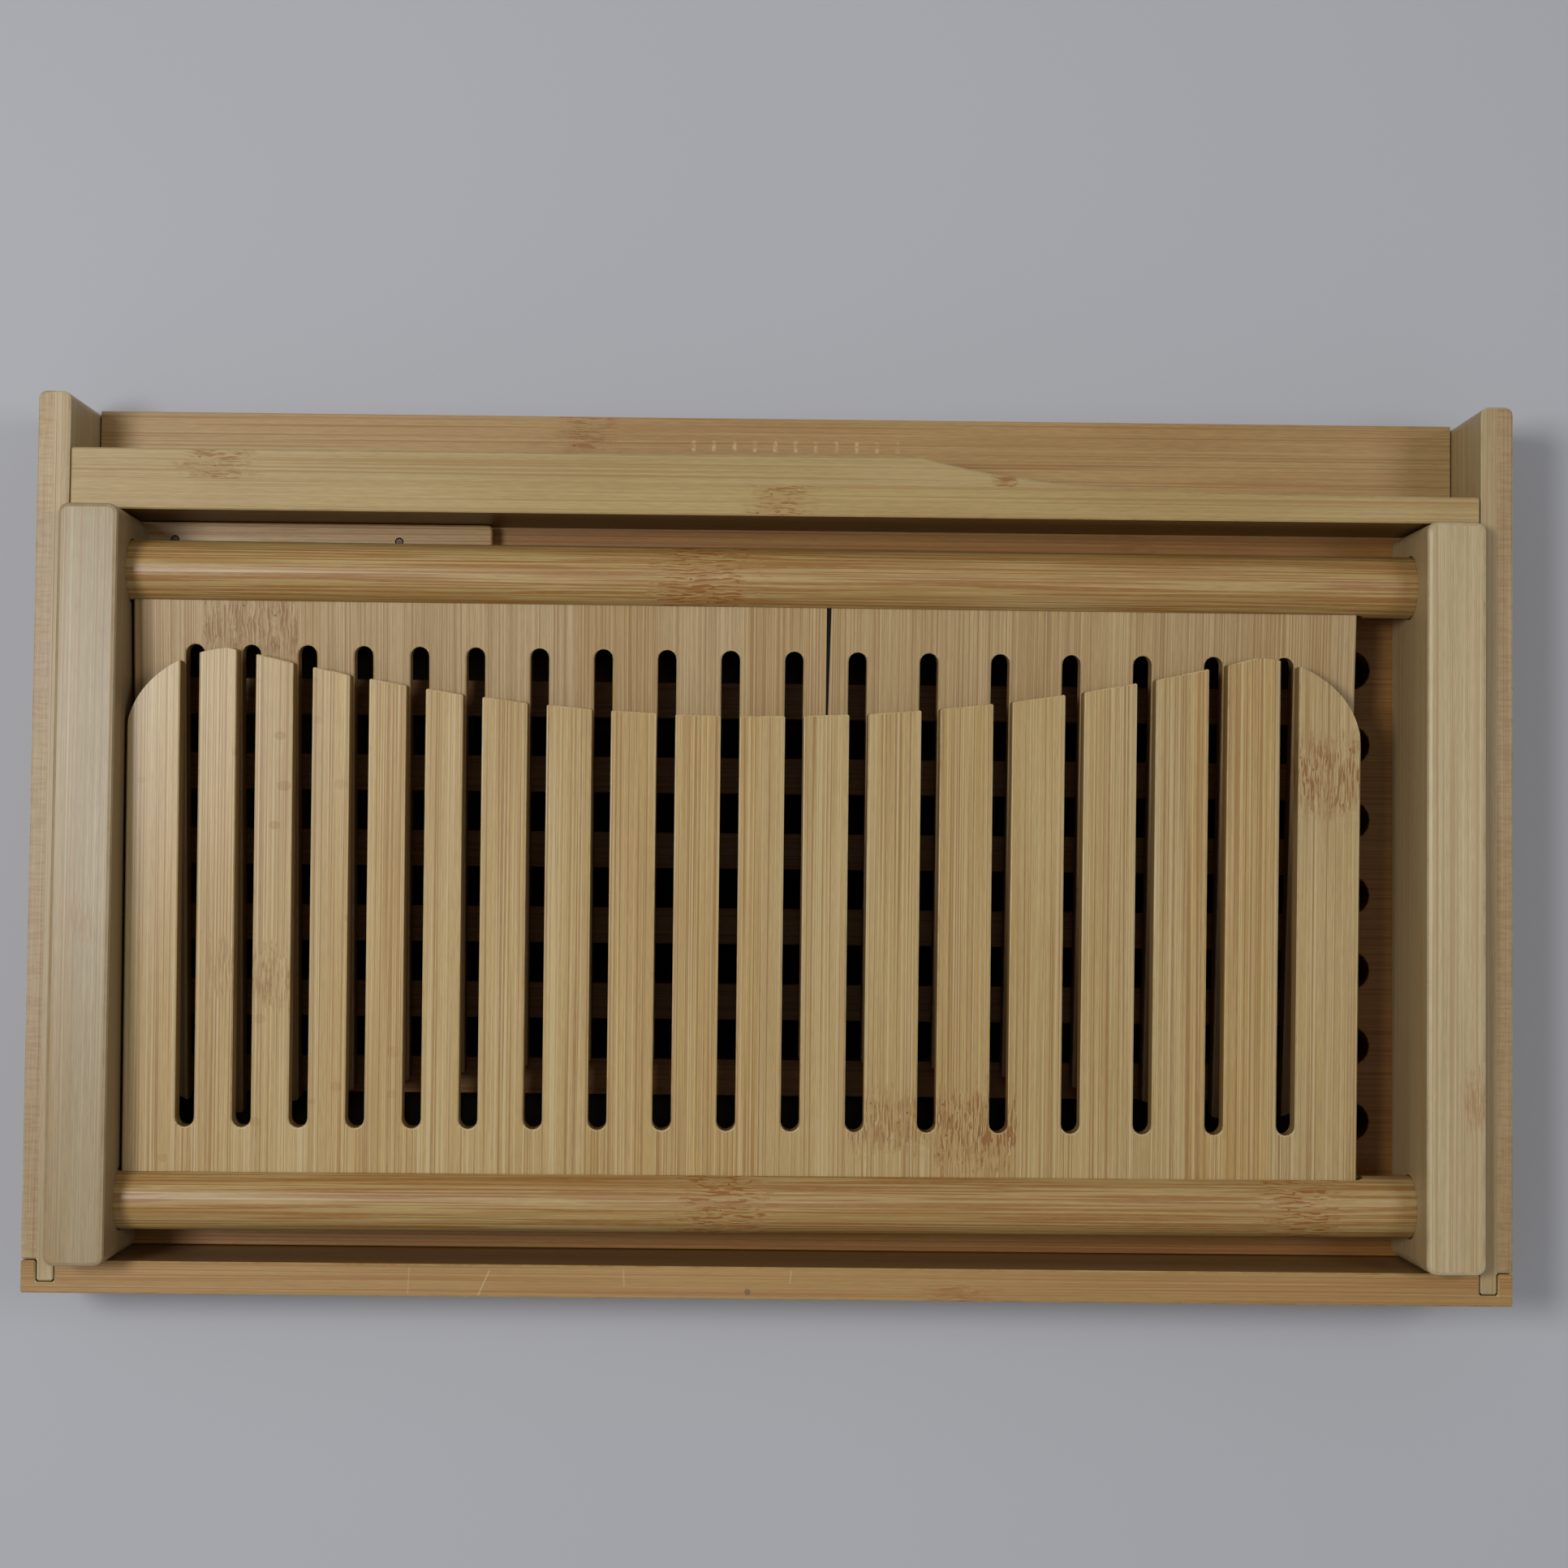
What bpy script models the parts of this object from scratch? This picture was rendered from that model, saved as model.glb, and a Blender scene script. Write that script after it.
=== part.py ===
"""Folding bread slicing guide of bamboo, lying folded in its tray.

Metres, +Z up, X along the dowels, -Y towards the front wall. The origin is at the
middle of the footprint, on the surface that the tray stands on.
"""
import math

import bmesh
import bpy
from mathutils import Matrix, Vector

# Folding unit: end bars and dowels
BAR_THICK = 0.0146
BAR_LENGTH = 0.1854
BAR_HEIGHT = 0.0350
BAR_ROUND = 0.0025
BAR_EASE = 0.0010
DOWEL_RADIUS = 0.00775
AXIS_INSET = 0.0146
AXIS_SHARE = 0.5
SOCKET_DEPTH = 0.0090

# Combs
COMB_THICK = 0.0060
COMB_LEFT_GAP = 0.0008
COMB_RIGHT_GAP = 0.0140
COMB_ROOT = 0.0020
FIRST_SLAT = 0.01295
LAST_SLAT = 0.01565
COMB_SLOT = 0.0047
SLOT_START = 0.0180
PITCHES = ((5, 0.0140), (6, 0.0160), (6, 0.0180))
TIP_INSET = 0.0348
TIP_ARC_RADIUS = 0.5260
TIP_ARC_SHARE = 0.4946
CORNER_WIDTH = 0.0155
CORNER_HEIGHT = 0.0200
TIP_STEPS = 4
CORNER_STEPS = 12
SLOT_STEPS = 8
COMB_EASE = 0.00035
GROOVE_END = 0.0026

# Tray
SIDE_PLAY = 0.0008
END_PLAY = 0.0006
WALL_THICK = 0.0080
WALL_RISE = 0.0280
BASE_THICK = 0.0100
TONGUE_SHARE = 0.5
TONGUE_REACH = 0.0050
WALL_BACK_ROUND = 0.0020
EDGE_EASE = 0.0004

# Slots through the base board
DECK_SLOTS = 7
DECK_PITCH_SHARE = 0.10457
DECK_SLOT_SHARE = 0.5244
DECK_SLOT_MARGIN = 0.0213

# Divider in front of the knife ledge
DIVIDER_THICK = 0.0153
DIVIDER_THIN = 0.0065
LEDGE_DEPTH = 0.0141
RECESS_SHARE = 0.10245
RECESS_FADE = 0.0290
RECESS_STEPS = 22
RECESS_BUNCH = 1.6

# Cleat on the deck, back left
CLEAT_LENGTH = 0.1030
CLEAT_DEPTH = 0.0200
CLEAT_RISE = 0.0065
CLEAT_ROUND = 0.0012
PIN_RADIUS = 0.0008
PIN_DEPTH = 0.0050
PIN_BACK = 0.0045
PIN_SHARES = (0.207, 0.768)

# Fit
GAP = 0.0003
SOCKET_GAP = 0.00035
ROUND_STEPS = 56
CORNER_ARC_STEPS = 6
MERGE = 0.00001
SHARP_ANGLE = math.radians(30)
BEVEL_ANGLE = math.radians(50)
FLAT_ANGLE = math.radians(0.5)

# Derived: the combs' slots set the length of the unit, and the unit sets the tray
COMB_LENGTH = FIRST_SLAT + COMB_SLOT + sum(count * pitch for count, pitch in PITCHES) + LAST_SLAT
TIP_ARC_CENTRE = COMB_LENGTH * TIP_ARC_SHARE
BAR_SPACING = COMB_LEFT_GAP + COMB_LENGTH + COMB_RIGHT_GAP
UNIT_LENGTH = BAR_SPACING + 2 * BAR_THICK
DOWEL_SPACING = BAR_LENGTH - 2 * AXIS_INSET
TIP_LOW = DOWEL_SPACING - TIP_INSET
AXIS_HEIGHT = BAR_HEIGHT * AXIS_SHARE
INNER_WIDTH = UNIT_LENGTH + 2 * SIDE_PLAY
INNER_DEPTH = BAR_LENGTH + 2 * END_PLAY
HALF_WIDTH = INNER_WIDTH / 2
OUTER_WIDTH = INNER_WIDTH + 2 * WALL_THICK
OUTER_DEPTH = WALL_THICK + INNER_DEPTH + DIVIDER_THICK + LEDGE_DEPTH
FRONT_OUT = -OUTER_DEPTH / 2
FRONT_IN = FRONT_OUT + WALL_THICK
BACK_EDGE = OUTER_DEPTH / 2
DIVIDER_FRONT = FRONT_IN + INNER_DEPTH
WELL_CENTRE = (FRONT_IN + DIVIDER_FRONT) / 2
WALL_TOP = BASE_THICK + WALL_RISE
DECK_SLOT_PITCH = INNER_DEPTH * DECK_PITCH_SHARE
DECK_SLOT_WIDTH = DECK_SLOT_PITCH * DECK_SLOT_SHARE
RECESS_START = INNER_WIDTH * RECESS_SHARE

# The unit stands with its right bar on the deck and its left bar on the cleat
TILT = math.asin(CLEAT_RISE / (UNIT_LENGTH / 2 + BAR_SPACING / 2))
UNIT_LIFT = BASE_THICK + GAP + math.sin(TILT) * UNIT_LENGTH / 2
UNIT_SHIFT = -math.sin(TILT) * BAR_HEIGHT / 2


def wipe_scene():
    """Start from a scene with nothing in it."""
    for old in list(bpy.data.objects):
        bpy.data.objects.remove(old, do_unlink=True)
    for old in list(bpy.data.collections):
        bpy.data.collections.remove(old)


def new_collection(name):
    group = bpy.data.collections.new(name)
    bpy.context.scene.collection.children.link(group)
    return group


def bamboo(name, colour, roughness):
    """A plain stand-in finish: colour and roughness of one piece."""
    material = bpy.data.materials.new(name)
    material.use_nodes = True
    shader = material.node_tree.nodes["Principled BSDF"]
    shader.inputs["Base Color"].default_value = (*colour, 1.0)
    shader.inputs["Roughness"].default_value = roughness
    shader.inputs["Metallic"].default_value = 0.0
    material.diffuse_color = (*colour, 1.0)
    return material


def arc(centre, radius_x, radius_y, start, end, steps):
    """Points on a part of an ellipse, both ends included."""
    points = []
    for step in range(steps + 1):
        angle = start + (end - start) * step / steps
        points.append((centre[0] + radius_x * math.cos(angle), centre[1] + radius_y * math.sin(angle)))
    return points


def rectangle(low, high):
    return [(low[0], low[1]), (high[0], low[1]), (high[0], high[1]), (low[0], high[1])]


def rounded_rectangle(low, high, radius, corners=(True, True, True, True)):
    """Outline that starts at the low corner, with a radius at the chosen corners."""
    centres = (
        (low[0] + radius, low[1] + radius),
        (high[0] - radius, low[1] + radius),
        (high[0] - radius, high[1] - radius),
        (low[0] + radius, high[1] - radius),
    )
    plain = rectangle(low, high)
    points = []
    for index, centre in enumerate(centres):
        start = math.pi + index * math.pi / 2
        if corners[index]:
            points += arc(centre, radius, radius, start, start + math.pi / 2, CORNER_ARC_STEPS)
        else:
            points.append(plain[index])
    return points


def long_slot(centre_y, half_length, half_width, steps):
    """Outline of a slot along X with round ends."""
    straight = half_length - half_width
    points = arc((straight, centre_y), half_width, half_width, -math.pi / 2, math.pi / 2, steps)
    points += arc((-straight, centre_y), half_width, half_width, math.pi / 2, 3 * math.pi / 2, steps)
    return points


def ease_edges(piece, width, segments=1):
    """Take the sharpness off the edges of a flat-sided piece."""
    bevel = piece.modifiers.new("eased edges", "BEVEL")
    bevel.width = width
    bevel.segments = segments
    bevel.limit_method = "ANGLE"
    bevel.angle_limit = BEVEL_ANGLE


def board(name, outlines, thickness, group, material):
    """Board cut from flat outlines. The first is its edge, the others are holes in it."""
    drawing = bpy.data.curves.new(name + " outline", "CURVE")
    drawing.dimensions = "2D"
    drawing.fill_mode = "BOTH"
    drawing.extrude = thickness / 2
    for outline in outlines:
        spline = drawing.splines.new("POLY")
        spline.points.add(len(outline) - 1)
        for point, spot in zip(spline.points, outline):
            point.co = (spot[0], spot[1], 0.0, 1.0)
        spline.use_cyclic_u = True
    carrier = bpy.data.objects.new(name + " outline", drawing)
    group.objects.link(carrier)
    bpy.context.view_layer.update()
    mesh = bpy.data.meshes.new_from_object(carrier.evaluated_get(bpy.context.evaluated_depsgraph_get()))
    bpy.data.objects.remove(carrier, do_unlink=True)
    bpy.data.curves.remove(drawing)
    work = bmesh.new()
    work.from_mesh(mesh)
    bmesh.ops.remove_doubles(work, verts=work.verts, dist=MERGE)
    bmesh.ops.dissolve_limit(work, angle_limit=FLAT_ANGLE, verts=work.verts, edges=work.edges)
    bmesh.ops.recalc_face_normals(work, faces=work.faces)
    work.to_mesh(mesh)
    work.free()
    mesh.name = name
    piece = bpy.data.objects.new(name, mesh)
    if material is not None:
        mesh.materials.append(material)
    group.objects.link(piece)
    return piece


def round_bar(name, radius, length, turn, group, material):
    """Round rod, made along Z and turned by the given matrix."""
    mesh = bpy.data.meshes.new(name)
    work = bmesh.new()
    bmesh.ops.create_cone(
        work,
        cap_ends=True,
        cap_tris=False,
        segments=ROUND_STEPS,
        radius1=radius,
        radius2=radius,
        depth=length,
        matrix=turn,
    )
    work.to_mesh(mesh)
    work.free()
    piece = bpy.data.objects.new(name, mesh)
    if material is not None:
        mesh.materials.append(material)
    group.objects.link(piece)
    return piece


def smooth_round(piece):
    piece.data.shade_smooth()
    piece.data.set_sharp_from_angle(angle=SHARP_ANGLE)


def cut_with(piece, cutter):
    """Take the cutter's shape out of the piece."""
    cutter.hide_render = True
    cutter.display_type = "WIRE"
    cut = piece.modifiers.new("cut", "BOOLEAN")
    cut.operation = "DIFFERENCE"
    cut.solver = "EXACT"
    cut.object = cutter


def pivot(name, group, parent, location, turn):
    """Empty that carries the pieces which move together."""
    empty = bpy.data.objects.new(name, None)
    empty.empty_display_size = DOWEL_RADIUS
    empty.parent = parent
    empty.location = location
    empty.rotation_euler = turn
    group.objects.link(empty)
    return empty


def divider_outline():
    """Straight front face. The back face fades away behind the knife's handle."""
    low_x = -HALF_WIDTH + GAP
    high_x = HALF_WIDTH - GAP
    points = [(low_x, 0.0), (high_x, 0.0)]
    run = high_x - RECESS_START
    for step in range(RECESS_STEPS + 1):
        share = (1 - step / RECESS_STEPS) ** RECESS_BUNCH
        along = run * share
        depth = DIVIDER_THIN + (DIVIDER_THICK - DIVIDER_THIN) * math.exp(-along / RECESS_FADE)
        points.append((RECESS_START + along, depth))
    points.append((low_x, DIVIDER_THICK))
    return points


def tip_line(x):
    """Reach of the comb's free edge from the dowel axis, x counted from the comb's left edge."""
    def bow(at):
        off = at - TIP_ARC_CENTRE
        return TIP_LOW + TIP_ARC_RADIUS - math.sqrt(TIP_ARC_RADIUS ** 2 - off ** 2)
    near = min(x, COMB_LENGTH - x)
    if near >= CORNER_WIDTH:
        return bow(x)
    joins = CORNER_WIDTH if x < COMB_LENGTH / 2 else COMB_LENGTH - CORNER_WIDTH
    share = (CORNER_WIDTH - near) / CORNER_WIDTH
    return bow(joins) - CORNER_HEIGHT * (1 - math.sqrt(max(0.0, 1 - share ** 2)))


def slot_centres():
    """Slot middles from the comb's left edge, in three slice widths."""
    at = FIRST_SLAT + COMB_SLOT / 2
    centres = [at]
    for count, pitch in PITCHES:
        for _ in range(count):
            at += pitch
            centres.append(at)
    return centres


def slat_tip(low, high):
    """Points along the free end of one slat, close together where a corner is round."""
    points = []
    if low == 0.0:
        for step in range(CORNER_STEPS + 1):
            x = high * (1 - math.cos(math.pi / 2 * step / CORNER_STEPS))
            points.append((x, tip_line(x)))
    elif high == COMB_LENGTH:
        for step in range(CORNER_STEPS + 1):
            x = low + (high - low) * math.sin(math.pi / 2 * step / CORNER_STEPS)
            points.append((x, tip_line(x)))
    else:
        for step in range(TIP_STEPS + 1):
            x = low + (high - low) * step / TIP_STEPS
            points.append((x, tip_line(x)))
    return points


def comb_outline():
    """Comb edge: the root along the dowel, then slat by slat with the slots between."""
    half = COMB_SLOT / 2
    points = [(COMB_LENGTH, COMB_ROOT), (0.0, COMB_ROOT)]
    low = 0.0
    for centre in slot_centres():
        points += slat_tip(low, centre - half)
        floor = arc((centre, SLOT_START + half), half, half, math.pi, 2 * math.pi, SLOT_STEPS)
        points += floor
        low = centre + half
    points += slat_tip(low, COMB_LENGTH)
    return points


def tip_points():
    """Corners of the slat ends, the places where a comb can touch something."""
    half = COMB_SLOT / 2
    edges = [0.0]
    for centre in slot_centres():
        edges += [centre - half, centre + half]
    edges.append(COMB_LENGTH)
    return [(x, tip_line(x)) for x in edges]


def comb_left():
    return -BAR_SPACING / 2 + COMB_LEFT_GAP


def back_comb_angle():
    """Droop at which the back comb's tips meet the deck, seen in the tilted unit."""
    angles = []
    for x, reach in tip_points():
        deck = (comb_left() + x - UNIT_LENGTH / 2) * math.tan(TILT)
        room = AXIS_HEIGHT - GAP - deck
        arm = math.hypot(reach, COMB_THICK / 2)
        angles.append(math.asin(room / arm) - math.atan2(COMB_THICK / 2, reach))
    return min(angles)


def front_comb_angle(droop):
    """Rise at which the front comb's tips lie on the back comb."""
    reach = max(reach for x, reach in tip_points())
    arm = math.hypot(reach, COMB_THICK / 2)
    room = COMB_THICK / 2 + GAP - DOWEL_SPACING * math.sin(droop)
    return droop + math.atan2(COMB_THICK / 2, reach) + math.asin(room / arm)


def build_tray(parts, cutters, finish):
    """Base board, three walls, the divider and the cleat."""
    slots = []
    middle = (DECK_SLOTS - 1) / 2
    for index in range(DECK_SLOTS):
        centre_y = WELL_CENTRE + (index - middle) * DECK_SLOT_PITCH
        half = HALF_WIDTH - DECK_SLOT_MARGIN
        slots.append(long_slot(centre_y, half, DECK_SLOT_WIDTH / 2, SLOT_STEPS))
    edge = rectangle((-HALF_WIDTH + GAP, FRONT_IN + GAP), (HALF_WIDTH - GAP, BACK_EDGE))
    base = board("base_board", [edge, *slots], BASE_THICK, parts, finish["deck"])
    base.location.z = BASE_THICK / 2
    ease_edges(base, EDGE_EASE)

    tongue = WALL_THICK * TONGUE_SHARE
    for side, name in ((-1, "left_side_wall"), (1, "right_side_wall")):
        outer = side * (HALF_WIDTH + WALL_THICK)
        inner = side * HALF_WIDTH
        step = side * (HALF_WIDTH + tongue)
        radius = WALL_BACK_ROUND
        quarter = math.pi / 2
        out_round = arc((outer - side * radius, BACK_EDGE - radius), radius, radius, quarter - side * quarter,
                        quarter, CORNER_ARC_STEPS)
        in_round = arc((inner + side * radius, BACK_EDGE - radius), radius, radius, quarter,
                       quarter + side * quarter, CORNER_ARC_STEPS)
        edge = [
            *out_round,
            *in_round,
            (inner, FRONT_IN - TONGUE_REACH),
            (step, FRONT_IN - TONGUE_REACH),
            (step, FRONT_IN + GAP),
            (outer, FRONT_IN + GAP),
        ]
        wall = board(name, [edge], WALL_TOP, parts, finish["walls"])
        wall.location.z = WALL_TOP / 2
        ease_edges(wall, EDGE_EASE)

    half = OUTER_WIDTH / 2
    notch_in = HALF_WIDTH - GAP
    notch_out = HALF_WIDTH + tongue + GAP
    notch_floor = FRONT_IN - TONGUE_REACH - GAP
    edge = [
        (-half, FRONT_OUT),
        (half, FRONT_OUT),
        (half, FRONT_IN),
        (notch_out, FRONT_IN),
        (notch_out, notch_floor),
        (notch_in, notch_floor),
        (notch_in, FRONT_IN),
        (-notch_in, FRONT_IN),
        (-notch_in, notch_floor),
        (-notch_out, notch_floor),
        (-notch_out, FRONT_IN),
        (-half, FRONT_IN),
    ]
    wall = board("front_wall", [edge], WALL_TOP, parts, finish["walls"])
    wall.location.z = WALL_TOP / 2
    ease_edges(wall, EDGE_EASE)

    divider = board("knife_divider", [divider_outline()], WALL_RISE - GAP, parts, finish["divider"])
    divider.location = (0.0, DIVIDER_FRONT, (BASE_THICK + GAP + WALL_TOP) / 2)
    ease_edges(divider, EDGE_EASE)

    low = (-HALF_WIDTH + GAP, DIVIDER_FRONT - GAP - CLEAT_DEPTH)
    high = (low[0] + CLEAT_LENGTH, DIVIDER_FRONT - GAP)
    edge = rounded_rectangle(low, high, CLEAT_ROUND, (False, True, True, False))
    cleat_top = BASE_THICK + CLEAT_RISE
    cleat = board("cleat", [edge], CLEAT_RISE - GAP, parts, finish["cleat"])
    cleat.location.z = (BASE_THICK + GAP + cleat_top) / 2
    ease_edges(cleat, EDGE_EASE)
    for index, share in enumerate(PIN_SHARES):
        spot = (low[0] + CLEAT_LENGTH * share, high[1] - PIN_BACK)
        label = ("left", "right")[index]
        pin = round_bar("cleat_pin_" + label, PIN_RADIUS, PIN_DEPTH - GAP, Matrix.Identity(4), parts,
                        finish["pins"])
        pin.location = (*spot, cleat_top - (PIN_DEPTH - GAP) / 2)
        smooth_round(pin)
        hole = round_bar("pin hole " + label, PIN_RADIUS + GAP, 2 * PIN_DEPTH, Matrix.Identity(4), cutters, None)
        hole.location = (*spot, cleat_top)
        cut_with(cleat, hole)


def build_bar(name, side, unit, parts, cutters, finish):
    """End bar with a blind round socket for each dowel."""
    low = (-BAR_THICK / 2, -BAR_LENGTH / 2)
    high = (BAR_THICK / 2, BAR_LENGTH / 2)
    bar = board(name, [rounded_rectangle(low, high, BAR_ROUND)], BAR_HEIGHT, parts, finish["bars"])
    bar.parent = unit
    bar.location = (side * (BAR_SPACING + BAR_THICK) / 2, 0.0, BAR_HEIGHT / 2)
    ease_edges(bar, BAR_EASE, 2)
    lay = Matrix.Rotation(math.pi / 2, 4, "Y")
    for place in (-1, 1):
        socket = round_bar(name + " socket", DOWEL_RADIUS + SOCKET_GAP, 2 * SOCKET_DEPTH, lay, cutters, None)
        socket.parent = unit
        socket.location = (side * BAR_SPACING / 2, place * DOWEL_SPACING / 2, AXIS_HEIGHT)
        cut_with(bar, socket)


def build_comb(name, side, unit, parts, cutters, finish, turn):
    """Comb and the dowel that it is glued into, both on the dowel's axis."""
    spot = (0.0, side * DOWEL_SPACING / 2, AXIS_HEIGHT)
    axis = pivot(name + "_axis", parts, unit, spot, (turn, 0.0, 0.0))
    shape = [(comb_left() + x, -side * y) for x, y in comb_outline()]
    comb = board(name + "_comb", [shape], COMB_THICK, parts, finish["combs"])
    comb.parent = axis
    ease_edges(comb, COMB_EASE)

    length = BAR_SPACING + 2 * (SOCKET_DEPTH - GAP)
    lay = Matrix.Rotation(math.pi / 2, 4, "Y")
    dowel = round_bar(name + "_dowel", DOWEL_RADIUS, length, lay, parts, finish["dowels"])
    dowel.parent = axis
    smooth_round(dowel)
    half_slot = COMB_THICK / 2 + GAP
    half_run = COMB_LENGTH / 2 + GROOVE_END
    groove = board(name + " groove", [long_slot(0.0, half_run, half_slot, SLOT_STEPS)], DOWEL_RADIUS, cutters, None)
    groove.parent = axis
    groove.rotation_euler = (math.pi / 2, 0.0, 0.0)
    centre = comb_left() + COMB_LENGTH / 2
    groove.location = (centre, -side * (COMB_ROOT - GAP + DOWEL_RADIUS / 2), 0.0)
    cut_with(dowel, groove)


def main():
    wipe_scene()
    parts = new_collection("bread_slicing_guide")
    cutters = new_collection("cutters")
    finish = {
        "deck": bamboo("deck bamboo", (0.25, 0.15, 0.07), 0.55),
        "walls": bamboo("wall bamboo", (0.46, 0.36, 0.23), 0.5),
        "divider": bamboo("divider bamboo", (0.34, 0.24, 0.14), 0.5),
        "cleat": bamboo("cleat bamboo", (0.36, 0.27, 0.16), 0.5),
        "pins": bamboo("pin wood", (0.12, 0.08, 0.05), 0.6),
        "bars": bamboo("bar bamboo", (0.44, 0.34, 0.21), 0.45),
        "dowels": bamboo("dowel bamboo", (0.42, 0.27, 0.13), 0.4),
        "combs": bamboo("comb bamboo", (0.42, 0.32, 0.20), 0.45),
    }
    build_tray(parts, cutters, finish)
    unit = pivot("slicer_unit", parts, None, Vector((UNIT_SHIFT, WELL_CENTRE, UNIT_LIFT)), (0.0, TILT, 0.0))
    build_bar("left_end_bar", -1, unit, parts, cutters, finish)
    build_bar("right_end_bar", 1, unit, parts, cutters, finish)
    droop = back_comb_angle()
    build_comb("back", 1, unit, parts, cutters, finish, droop)
    build_comb("front", -1, unit, parts, cutters, finish, front_comb_angle(droop))
    bpy.context.view_layer.update()


main()
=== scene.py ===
# %% [markdown]
# # Bread slicing guide in bamboo: the looks
#
# The shapes of this guide come ready made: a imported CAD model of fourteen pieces. It is a
# tray with a slotted deck, and in it a frame of two end bars and two dowels, with a slotted
# comb on each dowel. This lesson dresses those shapes. Bamboo is one material here, and yet
# every board looks different: each was cut another way from the same kind of strips. So the
# plan is to build the effects of bamboo once, as shader node groups, and then to give every
# board its own values.

import math

import bmesh
import bpy
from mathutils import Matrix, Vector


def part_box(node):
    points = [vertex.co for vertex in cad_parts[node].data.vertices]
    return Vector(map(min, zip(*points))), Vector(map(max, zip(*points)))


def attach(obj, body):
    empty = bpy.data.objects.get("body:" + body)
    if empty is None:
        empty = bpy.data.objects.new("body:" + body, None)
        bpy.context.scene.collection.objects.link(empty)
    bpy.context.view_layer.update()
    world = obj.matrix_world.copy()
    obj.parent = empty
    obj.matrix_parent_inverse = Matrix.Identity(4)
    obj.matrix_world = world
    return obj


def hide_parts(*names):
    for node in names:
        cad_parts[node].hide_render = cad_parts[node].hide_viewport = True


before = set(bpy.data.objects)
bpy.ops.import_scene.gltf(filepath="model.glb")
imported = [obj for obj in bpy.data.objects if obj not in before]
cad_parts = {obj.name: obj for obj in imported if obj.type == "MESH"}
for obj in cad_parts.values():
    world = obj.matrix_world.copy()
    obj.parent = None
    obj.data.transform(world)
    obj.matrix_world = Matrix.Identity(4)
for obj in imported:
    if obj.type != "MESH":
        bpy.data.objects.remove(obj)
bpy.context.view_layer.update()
print("pieces:", ", ".join(sorted(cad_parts)))

# %% [markdown]
# ## Units
#
# The model is in metres, but bamboo is thought of in millimetres: a fibre is half a
# millimetre wide, a strip about twenty. Blender could take metres in every texture, at the
# price of scales like 1400. A single factor turns the model's coordinates into millimetres
# before any texture reads them.

# %% Millimetres
MM = 1000.0


def mm_box(node):
    """Lowest and highest corner of a CAD node, in millimetres."""
    low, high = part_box(node)
    return [value * MM for value in low], [value * MM for value in high]


print("front comb, mm:", [[round(v, 1) for v in corner] for corner in mm_box("front_comb")])

# %% [markdown]
# ## Small helpers for node trees
#
# A node tree in code is a list of "add this node, join these two sockets". A few helpers
# keep that short. The first feeds a socket with either a number or another node's output,
# the next add a node with its settings, and the last ones start and place a group with named
# inputs and outputs. Sums are written so often that they get names of their own. Writing
# every link out by hand works too, but hides the effect behind the plumbing.

# %% Node helpers
MIX_FACTOR, MIX_FIRST, MIX_SECOND, MIX_RESULT = 0, 6, 7, 2  # a Mix node's sockets for colours
SOCKET_KINDS = {"value": "NodeSocketFloat", "vector": "NodeSocketVector",
                "colour": "NodeSocketColor"}


def feed(tree, socket, value):
    """Join a socket to another node's output, or give it a plain value."""
    if isinstance(value, bpy.types.NodeSocket):
        tree.links.new(value, socket)
    else:
        socket.default_value = value


def add_node(tree, kind, inputs=None, **settings):
    node = tree.nodes.new(kind)
    for name, value in settings.items():
        setattr(node, name, value)
    for name, value in (inputs or {}).items():
        feed(tree, node.inputs[name], value)
    return node


def math_node(tree, operation, first, second=0.0, third=0.0, clamp=False):
    inputs = {0: first, 1: second, 2: third}
    node = add_node(tree, "ShaderNodeMath", inputs, operation=operation, use_clamp=clamp)
    return node.outputs[0]


def times(tree, first, second, clamp=False):
    return math_node(tree, "MULTIPLY", first, second, clamp=clamp)


def plus(tree, first, second, clamp=False):
    return math_node(tree, "ADD", first, second, clamp=clamp)


def minus(tree, first, second):
    return math_node(tree, "SUBTRACT", first, second)


def ratio(tree, first, second):
    return math_node(tree, "DIVIDE", first, second)


def larger(tree, first, second):
    return math_node(tree, "MAXIMUM", first, second)


def absolute(tree, value):
    return math_node(tree, "ABSOLUTE", value)


def scale_and_add(tree, value, scale, offset):
    return math_node(tree, "MULTIPLY_ADD", value, scale, offset)


def vector_node(tree, operation, first, second=(0.0, 0.0, 0.0)):
    node = add_node(tree, "ShaderNodeVectorMath", {0: first, 1: second}, operation=operation)
    return node.outputs["Value" if operation in ("LENGTH", "DISTANCE") else 0]


def split(tree, vector):
    """The three coordinates of a vector, as sockets."""
    return add_node(tree, "ShaderNodeSeparateXYZ", {0: vector}).outputs


def split_colour(tree, colour):
    return add_node(tree, "ShaderNodeSeparateColor", {0: colour}).outputs


def noise(tree, vector, scale, detail=2.0, roughness=0.5):
    return add_node(tree, "ShaderNodeTexNoise", {
        "Vector": vector, "Scale": scale, "Detail": detail, "Roughness": roughness}).outputs


def remap(tree, value, low, high, to_low=0.0, to_high=1.0, smooth=True):
    """Stretch the range from low to high onto another one; smooth eases both of its ends."""
    return add_node(tree, "ShaderNodeMapRange", {
        "Value": value, "From Min": low, "From Max": high, "To Min": to_low, "To Max": to_high,
    }, interpolation_type="SMOOTHSTEP" if smooth else "LINEAR").outputs["Result"]


def mix_colour(tree, factor, first, second, blend="MIX"):
    node = add_node(tree, "ShaderNodeMix", data_type="RGBA", blend_type=blend)
    for socket, value in ((MIX_FACTOR, factor), (MIX_FIRST, first), (MIX_SECOND, second)):
        feed(tree, node.inputs[socket], value)
    return node.outputs[MIX_RESULT]


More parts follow.
